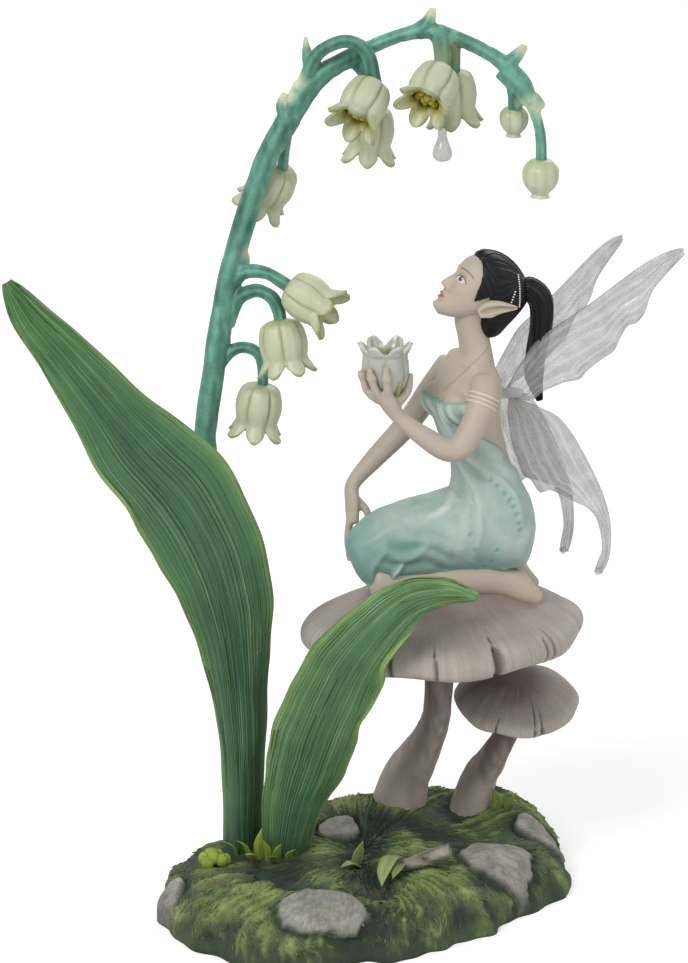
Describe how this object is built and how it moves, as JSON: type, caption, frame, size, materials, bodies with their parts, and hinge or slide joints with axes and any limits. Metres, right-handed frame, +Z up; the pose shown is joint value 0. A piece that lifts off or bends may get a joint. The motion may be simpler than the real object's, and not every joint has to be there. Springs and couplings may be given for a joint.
{
  "type": "fairy figurine",
  "caption": "Resin figurine of a winged fairy kneeling on a mushroom under an arching lily-of-the-valley stem, on a mossy oval base.",
  "frame": {"origin": "centre of the flat underside of the base", "axes": "+Z up along the figurine's height, +X to the right as it is displayed, -Y towards the viewer"},
  "size_m": [0.2119, 0.1212, 0.2919],
  "materials": {
    "leaf_paint": "cast resin painted green in satin acrylic, fine veins",
    "stem_paint": "cast resin painted teal green in satin acrylic",
    "petal_paint": "cast resin painted creamy white with green edges",
    "mushroom_paint": "cast resin painted taupe grey with a brown wash",
    "base_paint": "cast resin mound painted as moss and stones",
    "figure_paint": "cast resin figure, ivory skin, mint dress, black hair",
    "cup_paint": "cast resin flower cup in pearly white",
    "clear_resin": "clear cast resin, polished"
  },
  "bodies": {
    "root": {"base": "base_paint", "large_mushroom": "mushroom_paint", "small_mushroom": "mushroom_paint", "tall_leaf": "leaf_paint", "short_leaf": "leaf_paint", "flower_stem": "stem_paint", "bell_1": "petal_paint", "bell_2": "petal_paint", "bell_3": "petal_paint", "bell_4": "petal_paint", "bell_5": "petal_paint", "bell_6": "petal_paint", "bell_7": "petal_paint", "bell_8": "petal_paint", "bud_1": "petal_paint", "bud_2": "petal_paint", "dew_drop": "clear_resin", "fairy": "figure_paint", "flower_cup": "cup_paint", "left_wing": "clear_resin", "right_wing": "clear_resin"}
  },
  "joints": []
}
